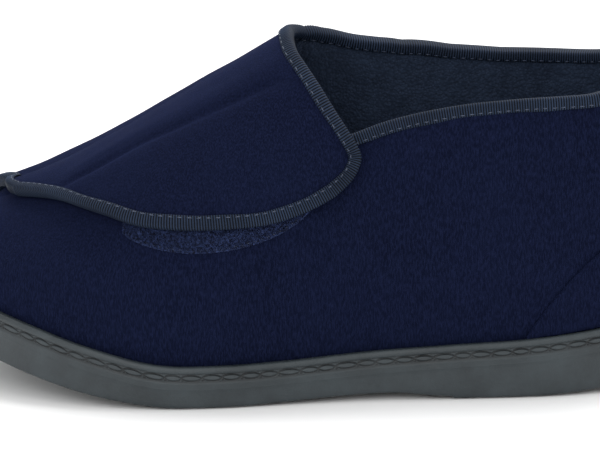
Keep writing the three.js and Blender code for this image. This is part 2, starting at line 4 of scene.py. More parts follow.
import bmesh
import bpy
import numpy as np
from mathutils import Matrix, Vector


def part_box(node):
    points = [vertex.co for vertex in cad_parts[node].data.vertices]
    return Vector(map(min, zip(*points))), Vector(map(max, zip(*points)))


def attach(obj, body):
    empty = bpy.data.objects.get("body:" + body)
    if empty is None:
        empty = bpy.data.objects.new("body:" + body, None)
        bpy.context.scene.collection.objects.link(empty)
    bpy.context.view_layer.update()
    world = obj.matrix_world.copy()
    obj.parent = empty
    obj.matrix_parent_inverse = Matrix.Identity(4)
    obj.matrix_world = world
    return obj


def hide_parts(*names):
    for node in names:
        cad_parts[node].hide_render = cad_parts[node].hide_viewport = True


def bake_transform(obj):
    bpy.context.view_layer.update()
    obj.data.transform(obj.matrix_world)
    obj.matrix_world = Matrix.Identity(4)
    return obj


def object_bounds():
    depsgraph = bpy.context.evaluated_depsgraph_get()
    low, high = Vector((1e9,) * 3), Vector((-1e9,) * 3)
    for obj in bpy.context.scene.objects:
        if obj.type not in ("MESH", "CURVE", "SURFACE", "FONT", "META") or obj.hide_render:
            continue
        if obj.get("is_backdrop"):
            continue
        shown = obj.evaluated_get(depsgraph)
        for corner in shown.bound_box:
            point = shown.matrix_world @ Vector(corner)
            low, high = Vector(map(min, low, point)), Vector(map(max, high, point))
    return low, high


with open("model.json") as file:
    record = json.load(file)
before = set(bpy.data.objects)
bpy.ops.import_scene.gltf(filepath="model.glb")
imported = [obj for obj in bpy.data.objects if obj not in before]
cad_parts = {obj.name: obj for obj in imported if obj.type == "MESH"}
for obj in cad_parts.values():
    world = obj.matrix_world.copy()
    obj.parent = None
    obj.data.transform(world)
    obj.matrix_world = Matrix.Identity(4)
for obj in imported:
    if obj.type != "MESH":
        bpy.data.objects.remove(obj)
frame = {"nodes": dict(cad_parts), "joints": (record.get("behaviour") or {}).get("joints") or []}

# ---------------------------------------------------------------- frame and driving sizes
sole_low, sole_high = (np.array(corner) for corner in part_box("outsole"))
cad_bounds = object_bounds()
LENGTH = 264                 # of the outsole, heel to toe
MM = (sole_high[0] - sole_low[0]) / LENGTH      # one design millimetre, in metres
HEIGHT = 126.5               # scale of the ridge line, above the floor
LIP_OUT = 3.5                # of the sole lip beyond the upper
CUP = 6                      # depth of the sole cup, from the lip
TOE_SPRING = 20.5            # rise of the tread at the toe
HEEL_BEVEL = 5               # rise of the tread at the back of the heel
WAIST_RISE = 2.4             # rise of the tread under the waist
BREAST = 0.204               # front of the heel, as a share of the length
SPINE = 0.86                 # length of the ridge, as a share of the outline's
SQUARE = 2.4                 # squareness of the section, where 2 is an ellipse
BULGE = 2.2                  # of the wall, halfway up
LEAN = 5                     # of the ridge to the inner side, at the middle
FLAP_TOP = 5.55              # outer face of the flap above the outer face of the wall
WALL_DEPTH = 2.9             # velour and foam of the wall together
FLAP_DEPTH = 1.7             # velour and foam of the flap together
LINING_TOP = -3.2            # outer face of the wall lining
LINING = 1.2
FLAP_LINING_TOP = 3.55       # outer face of the flap lining
FLAP_LINING = 0.7
EDGE_ROOM = 1.15             # left for the ribbon between the hidden throat edge and the wrap
RIM_ROOM = 0.45              # the same where the toe edge meets only the rim of the ribbon
TAPE_GAP = 0.3               # between a tape and the cloth under it
CREASE_DEPTH = 1.0           # of the fold pressed into the wrap
SEAM_DIP = 0.9               # of the back seam
RIB_PITCH = 0.9              # of the ribbon
RIB_DEPTH = 0.26
STITCH_PITCH = 3.2
CHAIN_PITCH = 6.8            # of the links moulded in the sole wall
CHAIN_LOW = -5.4             # foot of the links, from the lip
CHAIN_HIGH = -2.55           # head of the links, from the lip
CHAIN_DEPTH = 0.55
TREAD_GROOVE = 1.5           # depth of the grooves under the sole
FORE_GROOVE = 35             # half the length of a groove under the forefoot
HEEL_GROOVE = 20.8           # and under the heel
PAD_INSET = 5.1              # of the footbed from the upper's outline
PAD_LOW = 2.3                # foot of the footbed, above the floor of the cup
PAD_HIGH = 12.3              # and its top
PAD_DISH = 2.5               # how much lower its middle is
RANDOM = np.random.default_rng(7)

# half outline from heel to toe: place along, outer half width, inner half width, lip height in mm
STATIONS = [
    (0.500, 0.000, 0.000, 27.0),
    (0.485, 0.130, 0.130, 26.4),
    (0.443, 0.240, 0.235, 24.6),
    (0.379, 0.303, 0.295, 22.4),
    (0.303, 0.337, 0.325, 20.6),
    (0.208, 0.360, 0.335, 19.4),
    (0.095, 0.385, 0.345, 17.7),
    (-0.010, 0.435, 0.385, 15.8),
    (-0.105, 0.485, 0.445, 15.0),
    (-0.190, 0.500, 0.490, 15.6),
    (-0.280, 0.465, 0.500, 20.9),
    (-0.360, 0.370, 0.455, 26.6),
    (-0.428, 0.240, 0.365, 31.2),
    (-0.477, 0.100, 0.235, 34.0),
    (-0.500, -0.060, 0.060, 35.0),
]
TOE = len(STATIONS) - 1
LAP = 2 * TOE
RING = np.array(
    [(along, -outer, lip) for along, outer, _, lip in STATIONS]
    + [(along, inner, lip) for along, _, inner, lip in STATIONS[TOE - 1:0:-1]]
)
# On the upper, place counts stations from the heel, and sweep goes from the sole on the outer side at 0,
# over the ridge at 1, to the sole on the inner side at 2.
FLAP_REAR = 6.73              # place where the flap's rear edge meets the fold
FOLD_FRONT = 1.3              # sweep of the fold at the flap's front edge
FOLD_REAR = 1.2               # and at its rear edge
SEAM_FOOT = 1.925             # sweep where the front seam goes into the sole
THROAT_RIBBON_END = 12.3      # place where the throat ribbon ends under the wrap
FRONT_HEM = 0.735             # sweep where the flap's front edge meets the hem
# top edge of the outer wall, then of the inner wall, as rise at each place
OUTER_TOP = [
    (0, 0.33), (1.5, 0.326), (2.58, 0.328), (3.48, 0.352), (4.29, 0.38), (5, 0.407), (5.73, 0.43),
    (6.3, 0.437), (7.2, 0.461), (8.4, 0.53), (9.6, 0.62), (10.8, 0.73), (11.6, 0.83), (12, 0.92),
    (12.45, 1),
]
INNER_TOP = [
    (0, 0.335), (1.3, 0.343), (2.34, 0.359), (3.26, 0.391), (4.13, 0.432), (4.87, 0.487),
    (5.51, 0.558), (5.83, 0.607), (6.15, 0.663), (6.49, 0.747), (FLAP_REAR, 0.815),
]
# front edge of the wrap, as place at each sweep
FRONT = [(FRONT_HEM, 11.75), (0.8, 12.05), (0.87, 12.3), (1, 12.6), (FOLD_FRONT, 12.4), (2, 11.4)]
# hem and rear edge of the flap, as (place, sweep)
HEM = np.array([
    (11.75, FRONT_HEM), (11.2, 0.667), (10.68, 0.598), (10.19, 0.52), (9.77, 0.461), (9.41, 0.413),
    (9.03, 0.379), (8.33, 0.339), (7.67, 0.311), (7.23, 0.3), (6.81, 0.302), (6.47, 0.313),
])
REAR = np.array([
    (FLAP_REAR, 1.185), (6.89, 1.08), (6.93, 0.95), (6.89, 0.813), (6.77, 0.708), (6.59, 0.597),
    (6.43, 0.512), (6.27, 0.443), (6.17, 0.402), (6.13, 0.37), (6.24, 0.336), (6.47, 0.313),
])
# line of the crease, as sweep at each place
CREASE = [(6.6, 0.66), (7.25, 0.679), (7.93, 0.689), (8.75, 0.698), (9.47, 0.695), (10.27, 0.649), (11, 0.6)]


# ---------------------------------------------------------------- curves
def catmull(a, b, c, d, w):
    return 0.5 * (2 * b + (c - a) * w + (2 * a - 5 * b + 4 * c - d) * w**2 + (3 * b - a - 3 * c + d) * w**3)


def along(points, place):
    """Point of an open curve at place, counted in its points."""
    points = np.asarray(points, float)
    place = np.asarray(place, float)
    last = len(points) - 1
    start = np.clip(np.floor(place).astype(int), 0, last - 1)
    w = (place - start)[..., None]
    pick = lambda step: points[np.clip(start + step, 0, last)]
    return catmull(pick(-1), pick(0), pick(1), pick(2), w)


def table(pairs, place):
    """Second value of the pairs, read smoothly at place among their first values."""
    pairs = np.asarray(pairs, float)
    place = np.asarray(place, float)
    index = np.clip(np.searchsorted(pairs[:, 0], place, side="right") - 1, 0, len(pairs) - 2)
    share = (place - pairs[index, 0]) / (pairs[index + 1, 0] - pairs[index, 0])
    return along(pairs, index + np.clip(share, 0, 1))[..., 1]


def smooth(value):
    """Eased step, from 0 at 0 to 1 at 1."""
    t = np.clip(value, 0, 1)
    return t * t * (3 - 2 * t)


def mix(a, b, t):
    return a + (b - a) * t


def hump(value):
    """Bell of height 1 about 0."""
    return np.exp(-np.square(value))


def ripple(points, wavelength, seed):
    """Smooth, seeded unevenness, mostly from -1 to 1, over points in design millimetres."""
    source = np.random.default_rng(seed)
    total = np.zeros(points.shape[:-1])
    for _ in range(7):
        direction = source.normal(size=3)
        direction *= source.uniform(0.7, 1.4) / np.linalg.norm(direction)
        total += np.sin(points @ direction * 2 * math.pi / wavelength + source.uniform(0, 6.28))
    return total / 4


# ---------------------------------------------------------------- the last
def ring_at(lap):
    """Outline shares and lip height at a lap, counted in stations round from the heel."""
    place = np.mod(lap, LAP)
    start = np.floor(place).astype(int)
    w = (place - start)[..., None]
    pick = lambda step: RING[np.mod(start + step, LAP)]
    return catmull(pick(-1), pick(0), pick(1), pick(2), w)


ring_widths = ring_at(np.linspace(0, LAP, 2801))[:, 1]
ACROSS = ((sole_high[1] - sole_low[1]) / MM - 2 * LIP_OUT) / (ring_widths.max() - ring_widths.min())
ALONG = LENGTH - 2 * LIP_OUT


def outline(lap, outward=0.0):
    """x, y, lip height and outward normal of the outline."""
    lap = np.asarray(lap, float)
    nudge = 0.001
    here = ring_at(lap)
    ahead = ring_at(lap + nudge)
    behind = ring_at(lap - nudge)
    dx = (ahead[..., 0] - behind[..., 0]) * ALONG
    dy = (ahead[..., 1] - behind[..., 1]) * ACROSS
    span = np.hypot(dx, dy)
    nx, ny = -dy / span, dx / span
    return here[..., 0] * ALONG + nx * outward, here[..., 1] * ACROSS + ny * outward, here[..., 2], nx, ny


def ridge_height(x):
    run = x / LENGTH + 0.375
    return HEIGHT * (0.491 + 0.66 * (run + np.hypot(run, 0.1))) - FLAP_TOP


def wall(lap, rise):
    """Outer face of the wall, from the sole at rise 0 to the ridge at rise 1."""
    x, y, lip, nx, ny = outline(lap)
    _, y_across, _, _, _ = outline(LAP - lap)
    ridge_x = SPINE * x
    reach = np.minimum(np.abs(x) / (LENGTH / 2 - LIP_OUT), 1)
    ridge_y = (y + y_across) / 2 + LEAN * (1 - reach**4)
    angle = np.clip(rise, 0, 1) * math.pi / 2
    inward = 1 - np.cos(angle) ** (2 / SQUARE)
    upward = np.sin(angle) ** (2 / SQUARE)
    bulge = BULGE * np.sin(math.pi * upward) ** 2
    return np.stack([
        mix(x, ridge_x, inward) + nx * bulge,
        mix(y, ridge_y, inward) + ny * bulge,
        mix(lip - CUP, ridge_height(ridge_x), upward),
    ], axis=-1)


def skin(lap, rise, offset):
    """Point at an offset outward from the wall."""
    step = 0.004
    level = np.where(np.abs(lap - TOE) < 1, np.minimum(rise, 0.96), rise)
    low, high = np.maximum(level - step, 0), np.minimum(level + step, 1)
    around = wall(lap + step, level) - wall(lap - step, level)
    up = wall(lap, high) - wall(lap, low)
    normal = np.cross(up, around)
    normal /= np.linalg.norm(normal, axis=-1, keepdims=True)
    return wall(lap, rise) + normal * np.asarray(offset)[..., None]


def over(place, sweep, offset):
    """Point at an offset outward from the upper, by place and sweep."""
    place, sweep, offset = np.broadcast_arrays(np.asarray(place, float), sweep, offset)
    outer = sweep <= 1
    return skin(np.where(outer, place, LAP - place), np.where(outer, sweep, 2 - sweep), offset)


def lift(place, sweep):
    """0 where the inner wall lies at wall level, 1 where it has risen to flap level."""
    rise = np.where(sweep <= 1, 1, 2 - sweep)
    return smooth((rise - 0.12) / 0.7) * smooth((place - 3.6) / 3.2)


def tread(x):
    """Height of the tread above the floor."""
    toe = np.maximum(-x / LENGTH - 0.16, 0) / 0.34
    heel = np.maximum(x / LENGTH - 0.31, 0) / 0.19
    hollow = smooth((x / LENGTH + 0.1) / 0.23) * (1 - 0.7 * smooth((x / LENGTH - 0.12) / 0.08))
    waist = hollow * smooth((BREAST + 0.002 - x / LENGTH) / 0.004)
    return TOE_SPRING * toe**1.5 + HEEL_BEVEL * heel**1.6 + WAIST_RISE * waist


# ---------------------------------------------------------------- meshes
def make_object(name, points, faces, material):
    mesh = bpy.data.meshes.new(name)
    mesh.from_pydata((np.asarray(points) * MM).tolist(), [], faces)
    mesh.update()
    mesh.shade_smooth()
    obj = bpy.data.objects.new(name, mesh)
    bpy.context.collection.objects.link(obj)
    mesh.materials.append(material)
    return obj


def grid_quads(rows, columns, start=0, closed_rows=False, closed_columns=False):
    quads = []
    for i in range(rows if closed_rows else rows - 1):
        for j in range(columns if closed_columns else columns - 1):
            i2, j2 = (i + 1) % rows, (j + 1) % columns
            quads.append((start + i * columns + j, start + i2 * columns + j,
                          start + i2 * columns + j2, start + i * columns + j2))
    return quads


def cloth(name, patches, outside, inside, material):
    """Closed cloth between two faces over patches of (place, sweep), welded where patches meet."""
    spots = np.concatenate([patch.reshape(-1, 2) for patch in patches])
    quads = []
    start = 0
    for patch in patches:
        quads += grid_quads(patch.shape[0], patch.shape[1], start)
        start += patch.shape[0] * patch.shape[1]
    _, first, same = np.unique(np.round(spots, 5), axis=0, return_index=True, return_inverse=True)
    same = same.ravel()
    spots = spots[first]
    welded = []
    for quad in quads:
        corners = [int(same[corner]) for corner in quad]
        kept = [c for n, c in enumerate(corners) if c != corners[n - 1]]
        if len(kept) > 2:
            welded.append(tuple(kept))
    place, sweep = spots[:, 0], spots[:, 1]
    out, back = outside(place, sweep), inside(place, sweep)
    edges = {}
    for face in welded:
        for n, corner in enumerate(face):
            edges.setdefault(frozenset((face[n - 1], corner)), []).append((face[n - 1], corner))
    count = len(spots)
    rims = [pair[0] for pair in edges.values() if len(pair) == 1]
    faces = list(welded)
    faces += [tuple(corner + count for corner in reversed(face)) for face in welded]
    faces += [(b, a, a + count, b + count) for a, b in rims]
    return make_object(name, np.concatenate([out, back]), faces, material)


def resample(path, spacing):
    """Equal steps along a path of (place, sweep), measured on the surface."""
    where = over(path[:, 0], path[:, 1], 0)
    length = np.concatenate([[0], np.cumsum(np.linalg.norm(np.diff(where, axis=0), axis=1))])
    count = int(round(length[-1] / spacing))
    wanted = np.linspace(0, length[-1], count + 1)
    spots = np.stack([np.interp(wanted, length, path[:, axis]) for axis in (0, 1)], axis=-1)
    return spots, wanted


def inward_steps(path):
    """Change of place and sweep for one design millimetre inward from the path, to its left."""
    place, sweep = path[:, 0], path[:, 1]
    nudge = 0.01
    by_place = (over(place + nudge, sweep, 0) - over(place - nudge, sweep, 0)) / (2 * nudge)
    by_sweep = (over(place, sweep + nudge, 0) - over(place, sweep - nudge, 0)) / (2 * nudge)
    normal = over(place, sweep, 1) - over(place, sweep, 0)
    heading = np.gradient(over(place, sweep, 0), axis=0)
    reach = 12
    kernel = np.ones(2 * reach + 1) / (2 * reach + 1)
    padded = np.pad(heading, ((reach, reach), (0, 0)), mode="edge")
    heading = np.stack([np.convolve(padded[:, axis], kernel, "valid") for axis in range(3)], axis=-1)
    inward = np.cross(normal, heading)
    inward /= np.linalg.norm(inward, axis=1, keepdims=True)
    dot = lambda a, b: (a * b).sum(axis=1)
    aa, ab, bb = dot(by_place, by_place), dot(by_place, by_sweep), dot(by_sweep, by_sweep)
    pa, pb = dot(inward, by_place), dot(inward, by_sweep)
    det = aa * bb - ab * ab
    return np.stack([(pa * bb - pb * ab) / det, (pb * aa - pa * ab) / det], axis=-1)


# ---------------------------------------------------------------- materials
def linear(red, green, blue):
    """Scene colour of a display colour in 0 to 255."""
    values = [channel / 255 for channel in (red, green, blue)]
    return tuple(v / 12.92 if v <= 0.04045 else ((v + 0.055) / 1.055) ** 2.4 for v in values) + (1.0,)


def grey(value):
    return (value, value, value, 1)


class Look:
    """A node material built step by step."""

    def __init__(self, name, roughness, **settings):
        self.material = bpy.data.materials.new(name)
        self.material.use_nodes = True
        self.nodes = self.material.node_tree.nodes
        self.links = self.material.node_tree.links
        self.shader = self.nodes["Principled BSDF"]
        self.shader.inputs["Roughness"].default_value = roughness
        for socket, value in settings.items():
            self.shader.inputs[socket.replace("_", " ")].default_value = value
        self.place = self.node("ShaderNodeTexCoord").outputs["Object"]

    def node(self, kind, **settings):
        made = self.nodes.new(kind)
        for key, value in settings.items():
            setattr(made, key, value)
        return made

    def texture(self, kind, scale, stretch=(1, 1, 1)):
        made = self.node(kind)
        made.inputs["Scale"].default_value = scale
        mapping = self.node("ShaderNodeMapping")
        mapping.inputs["Scale"].default_value = stretch
        self.links.new(self.place, mapping.inputs["Vector"])
        self.links.new(mapping.outputs["Vector"], made.inputs["Vector"])
        return made

    def noise(self, scale, detail=2.0, roughness=0.5, stretch=(1, 1, 1)):
        made = self.texture("ShaderNodeTexNoise", scale, stretch)
        made.inputs["Detail"].default_value = detail
        made.inputs["Roughness"].default_value = roughness
        return made.outputs["Fac"]

    def cells(self, scale):
        return self.texture("ShaderNodeTexVoronoi", scale).outputs["Distance"]

    def feed(self, socket, value):
        if isinstance(value, (tuple, float, int)):
            socket.default_value = value
        else:
            self.links.new(value, socket)

    def ramp(self, value, *stops):
        made = self.node("ShaderNodeValToRGB")
        elements = made.color_ramp.elements
        while len(elements) < len(stops):
            elements.new(0.5)
        for element, (position, colour) in zip(elements, stops):
            element.position = position
            element.color = colour
        self.links.new(value, made.inputs["Fac"])
        return made.outputs["Color"]

    def blend(self, share, first, second):
        made = self.node("ShaderNodeMix", data_type="RGBA")
        self.feed(made.inputs[0], share)
        self.feed(made.inputs[6], first)
        self.feed(made.inputs[7], second)
        return made.outputs[2]

    def multiply(self, first, second):
        made = self.node("ShaderNodeMath", operation="MULTIPLY")
        self.feed(made.inputs[0], first)
        self.feed(made.inputs[1], second)
        return made.outputs[0]

    def attribute(self, name):
        return self.node("ShaderNodeAttribute", attribute_name=name).outputs["Fac"]

    def colour(self, output):
        self.links.new(output, self.shader.inputs["Base Color"])

    def rough(self, value, low, high):
        made = self.node("ShaderNodeMapRange")
        made.inputs["To Min"].default_value = low
        made.inputs["To Max"].default_value = high
        self.links.new(value, made.inputs["Value"])
        self.links.new(made.outputs["Result"], self.shader.inputs["Roughness"])

    def bump(self, *layers):
        """Each layer is (height, depth in metres)."""
        before = None
        for height, depth in layers:
            made = self.node("ShaderNodeBump")
            made.inputs["Strength"].default_value = 1.0
            made.inputs["Distance"].default_value = depth
            self.links.new(height, made.inputs["Height"])
            if before:
                self.links.new(before, made.inputs["Normal"])
            before = made.outputs["Normal"]
        self.links.new(before, self.shader.inputs["Normal"])


def velour_look():
    look = Look("velour", 1.0, Sheen_Weight=0.08, Sheen_Roughness=0.4,
                Sheen_Tint=linear(92, 116, 200), Specular_IOR_Level=0.03)
    wale = look.noise(1500, 2, 0.6, (1.5, 1.5, 0.34))
    pile = look.noise(3600, 3, 0.7)
    patches = look.noise(26, 4, 0.6)
    base = look.ramp(patches, (0.3, linear(9, 13, 30)), (0.7, linear(12, 17, 36)))
    ridges = look.ramp(wale, (0.4, grey(0)), (0.66, grey(0.75)))
    waled = look.blend(ridges, base, linear(22, 28, 53))
    lint = look.ramp(look.cells(900), (0.035, grey(1)), (0.07, grey(0)))
    sparse = look.ramp(look.noise(330, 1, 0.4), (0.66, grey(0)), (0.7, grey(1)))
    specks = look.multiply(look.multiply(lint, sparse), 0.3)
    look.colour(look.blend(specks, waled, linear(90, 98, 130)))
    look.bump((wale, 0.00022), (pile, 0.00018), (patches, 0.0006))
    return look.material


def towelling_look():
    look = Look("towelling", 1.0, Sheen_Weight=0.45, Sheen_Roughness=0.5,
                Sheen_Tint=linear(120, 135, 165), Specular_IOR_Level=0.1)
    loops = look.cells(950)
    clumps = look.noise(140, 3, 0.6)
    base = look.ramp(clumps, (0.3, linear(22, 30, 44)), (0.7, linear(34, 44, 61)))
    tips = look.ramp(loops, (0.1, grey(0.5)), (0.55, grey(0)))
    look.colour(look.blend(tips, base, linear(48, 58, 78)))
    look.bump((loops, 0.0006), (clumps, 0.0008))
    return look.material


def ribbon_look():
    look = Look("ribbon", 0.75, Specular_IOR_Level=0.1)
    ribs = look.attribute("rib")
    fibre = look.noise(4200, 2, 0.6)
    wear = look.noise(60, 3, 0.6)
    base = look.ramp(wear, (0.3, linear(27, 37, 54)), (0.7, linear(38, 50, 70)))
    # painted shade: the hollows between the ribs are darkened toward near black
    painted_groove_shade = look.ramp(ribs, (0.2, grey(1)), (0.75, grey(0)))
    look.colour(look.blend(painted_groove_shade, base, linear(4, 6, 12)))
    look.rough(fibre, 0.5, 0.8)
    look.bump((fibre, 0.00012))
    return look.material


def thread_look():
    look = Look("thread", 0.55, Sheen_Weight=0.2, Specular_IOR_Level=0.4)
    look.colour(look.ramp(look.noise(3000, 2), (0.3, linear(30, 38, 56)), (0.7, linear(54, 66, 90))))
    look.bump((look.noise(5000, 1), 0.0001))
    return look.material


def tape_look(name, dark, light, clump=2600):
    look = Look(name, 0.9, Sheen_Weight=0.12, Sheen_Roughness=0.4, Sheen_Tint=linear(90, 110, 190),
                Specular_IOR_Level=0.15)
    look.colour(look.ramp(look.noise(clump, 3, 0.7), (0.4, dark), (0.62, light)))
    look.bump((look.noise(3800, 2, 0.7), 0.0003))
    return look.material


def rubber_look():
    look = Look("sole_rubber", 0.5, Specular_IOR_Level=0.42, Coat_Weight=0.06, Coat_Roughness=0.5)
    mottle = look.noise(70, 6, 0.68)
    fine = look.noise(900, 3, 0.6)
    base = look.ramp(mottle, (0.3, linear(30, 37, 41)), (0.72, linear(49, 57, 61)))
    # painted shade: the sole colour is darkened toward near black along the engraved link outlines, by the
    # stored engraving depth
    shade = look.attribute("engraving_painted_shade")
    carved_and_shaded = look.blend(shade, base, linear(14, 15, 17))
    scuff = look.ramp(look.noise(38, 8, 0.75, (1, 1, 3)), (0.63, grey(0)), (0.78, grey(0.4)))
    look.colour(look.blend(scuff, carved_and_shaded, linear(74, 76, 77)))
    look.rough(mottle, 0.38, 0.68)
    look.bump((fine, 0.00012), (mottle, 0.0003))
    return look.material


def board_look():
    look = Look("board", 0.85)
    grain = look.noise(300, 5, 0.7, (1, 3, 1))
    look.colour(look.ramp(grain, (0.3, linear(126, 112, 88)), (0.7, linear(166, 150, 122))))
    look.bump((look.noise(1600, 3), 0.0002))
    return look.material


VELOUR = velour_look()
TOWELLING = towelling_look()
RIBBON = ribbon_look()
THREAD = thread_look()
LOOPS = tape_look("loop_tape", linear(9, 13, 30), linear(47, 60, 98), 1100)
HOOKS = tape_look("hook_tape", linear(17, 20, 34), linear(42, 48, 70))
RUBBER = rubber_look()
BOARD = board_look()

# ---------------------------------------------------------------- where the flap folds
hinge = next(joint for joint in frame["joints"] if joint["name"] == "flap_hinge")
fold_axis = np.array(hinge["axis"])
fold_point = np.array(hinge["pos_m"]) / MM
outward_there = over(9.5, 1.17, 1.0) - over(9.5, 1.17, 0.0)      # in the middle of the fold
toward_flap = np.cross(fold_axis, outward_there)
toward_flap *= -np.sign(toward_flap[1])
toward_flap /= np.linalg.norm(toward_flap)
above_fold = np.cross(toward_flap, fold_axis)
above_fold *= np.sign(above_fold[2])


def fold(piece):
    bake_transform(piece)


# ---------------------------------------------------------------- cloth of the upper
def front_place(sweep):
    return table(FRONT, sweep)


def front_edge(sweep):
    return np.stack([front_place(sweep), sweep], axis=-1)


def toe_edge(sweep):
    """Rear edge of the toe: it butts against the wrap low down and runs under it higher up."""
    return front_place(sweep) + 0.02 - 0.2 * smooth((1.4 - sweep) / 0.2)


THROAT_END = float(toe_edge(np.array(1.0)))


def outer_patches(columns=210, rows=54, toe_columns=30):
    """Outer wall from the heel to the toe, and the toe on round to the front edge of the wrap."""
    behind = np.linspace(0.0, THROAT_END, columns - toe_columns)[:-1]
    ahead = np.linspace(THROAT_END, TOE, toe_columns)
    place = np.concatenate([behind, ahead])
    top = np.where(place >= THROAT_END, 1.0, table(OUTER_TOP, np.minimum(place, OUTER_TOP[-1][0])))
    v = np.linspace(0, 1, rows)
    outer = np.stack(np.broadcast_arrays(place[:, None], v[None, :] * top[:, None]), axis=-1)
    share = np.linspace(0, 1, toe_columns)[:, None]
    sweep = np.broadcast_to(2 - v[None, :], (toe_columns, rows))
    inner = np.stack([mix(TOE, toe_edge(sweep), share), sweep], axis=-1)
    inner[:, -1, 0] = ahead[::-1]
    return [outer, inner]


def flap_spots(fore_aft, down):
    """Spots of the flap, blended from its four edges: 0 to 1 from front to rear and from fold to hem."""
    front = front_edge(mix(FOLD_FRONT, FRONT_HEM, down))
    rear = along(REAR, down * (len(REAR) - 1))
    fold_place = mix(float(front_place(np.array(FOLD_FRONT))), FLAP_REAR, fore_aft)
    fold_line = np.stack([fold_place, mix(FOLD_FRONT, FOLD_REAR, fore_aft)], axis=-1)
    hem = along(HEM, fore_aft * (len(HEM) - 1))
    a, d = fore_aft[..., None], down[..., None]
    corner = [flap_corner(0, 0), flap_corner(1, 0), flap_corner(0, 1), flap_corner(1, 1)]
    return ((1 - a) * front + a * rear + (1 - d) * fold_line + d * hem
            - (1 - a) * (1 - d) * corner[0] - a * (1 - d) * corner[1]
            - (1 - a) * d * corner[2] - a * d * corner[3])


def flap_corner(fore_aft, down):
    if down:
        return HEM[-1] if fore_aft else HEM[0]
    return REAR[0] if fore_aft else front_edge(np.array(FOLD_FRONT))


def wrap_patches(columns=150, rows=110, wall_rows=54, behind_columns=110):
    """Flap, the inner wall under its fold, and the inner wall behind that."""
    fore_aft, down = np.meshgrid(np.linspace(0, 1, columns), np.linspace(0, 1, rows), indexing="ij")
    flap = flap_spots(fore_aft, down)
    top = flap[:, 0]
    share = np.linspace(0, 1, wall_rows)
    sweep = mix(top[:, 1][:, None], 2.0, share[None, :])
    a = np.linspace(0, 1, columns)[:, None]
    place = mix(front_place(sweep), FLAP_REAR, a)
    under = np.stack([place, sweep], axis=-1)
    under[:, 0] = top
    behind_place = np.linspace(FLAP_REAR, 0.0, behind_columns)
    behind_top = 2 - table(INNER_TOP, behind_place)
    behind_top[0] = top[-1, 1]
    sweep = mix(behind_top[:, None], 2.0, share[None, :])
    behind = np.stack(np.broadcast_arrays(behind_place[:, None], sweep), axis=-1).copy()
    behind[0] = under[-1]
    return [flap, under, behind]


def heel_seam(place):
    return -SEAM_DIP * hump(place / 0.055)


def edge_rise(place, sweep):
    """How far the hidden throat edge of the wall stands up against the wrap."""
    top = table(OUTER_TOP, np.minimum(place, THROAT_END))
    to_throat = np.abs(top - sweep) / 0.08 + np.maximum(place - THROAT_END, 0) / 0.22
    to_front = np.abs(place - toe_edge(sweep)) / 0.22 + np.maximum(1 - sweep, 0) / 0.08
    near = smooth(1 - np.minimum(to_throat, to_front))
    _, wrap_inside = wrap_faces(place, sweep)
    room = mix(EDGE_ROOM, RIM_ROOM, smooth((sweep - 1.15) / 0.2))
    return np.maximum(wrap_inside - room, 0) * near * smooth((place - 8.2) / 1.2)


def outer_relief(place, sweep):
    rise = np.where(sweep <= 1, sweep, 2 - sweep)
    points = over(place, sweep, 0)
    calm = smooth(rise / 0.08)
    soft = 0.45 * ripple(points, 70, 11) + 0.2 * ripple(points, 28, 12)
    tuck = -0.5 * hump(rise / 0.03)
    return soft * calm + tuck + heel_seam(place) + edge_rise(place, sweep)


def wrap_relief(place, sweep):
    points = over(place, sweep, 0)
    soft = 0.4 * ripple(points, 60, 21) + 0.18 * ripple(points, 24, 22)
    valley = table(CREASE, np.clip(place, CREASE[0][0], CREASE[-1][0])) + 0.015
    window = smooth((place - 6.7) / 0.8) * smooth((CREASE[-1][0] - place) / 0.9)
    crease = -CREASE_DEPTH * hump((sweep - valley) / 0.019)
    swell = 0.6 * hump((sweep - valley - 0.07) / 0.05)
    below = 0.35 * hump((sweep - valley + 0.06) / 0.045)
    branch = valley + 0.022 + 0.012 * (place - 8)
    second = -0.12 * hump((sweep - branch) / 0.012) * smooth((place - 8) / 1.5)
    seam = heel_seam(place) * (sweep > 1.2)
    foot = -0.5 * hump((2 - sweep) / 0.03) * (sweep > 1.2)
    calm = np.where(sweep < 1.15, 0.8, smooth((2 - sweep) / 0.08))
    return soft * calm + (crease + swell + below + second) * window + seam + foot


def build_outer_panel():
    panel = cloth(
        "outer_velour", outer_patches(),
        lambda place, sweep: over(place, sweep, outer_relief(place, sweep)),
        lambda place, sweep: over(place, sweep, -WALL_DEPTH),
        VELOUR)
    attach(panel, "shoe")
    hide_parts("lateral_upper", "lateral_foam")


def build_wrap():
    def outside(place, sweep):
        return over(place, sweep, FLAP_TOP * lift(place, sweep) + wrap_relief(place, sweep))

    def inside(place, sweep):
        return over(place, sweep, mix(-WALL_DEPTH, FLAP_TOP - FLAP_DEPTH, lift(place, sweep)))

    wrap = cloth("wrap_velour", wrap_patches(), outside, inside, VELOUR)
    fold(wrap)
    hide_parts("medial_upper", "medial_foam", "flap_outer", "flap_foam")


def build_linings():
    def nap(place, sweep, seed):
        return 0.12 * ripple(over(place, sweep, 0), 5, seed)

    outer = cloth(
        "outer_lining", outer_patches(150, 40),
        lambda place, sweep: over(place, sweep, LINING_TOP),
        lambda place, sweep: over(place, sweep, LINING_TOP - LINING - nap(place, sweep, 31)),
        TOWELLING)
    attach(outer, "shoe")
    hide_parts("lateral_lining")

    def outside(place, sweep):
        return over(place, sweep, mix(LINING_TOP, FLAP_LINING_TOP, lift(place, sweep)))

    def inside(place, sweep):
        depth = mix(LINING_TOP - LINING, FLAP_LINING_TOP - FLAP_LINING, lift(place, sweep))
        return over(place, sweep, depth - nap(place, sweep, 32))

    wrap = cloth("wrap_lining", wrap_patches(100, 70, 40), outside, inside, TOWELLING)
    fold(wrap)
    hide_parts("medial_lining", "flap_lining")


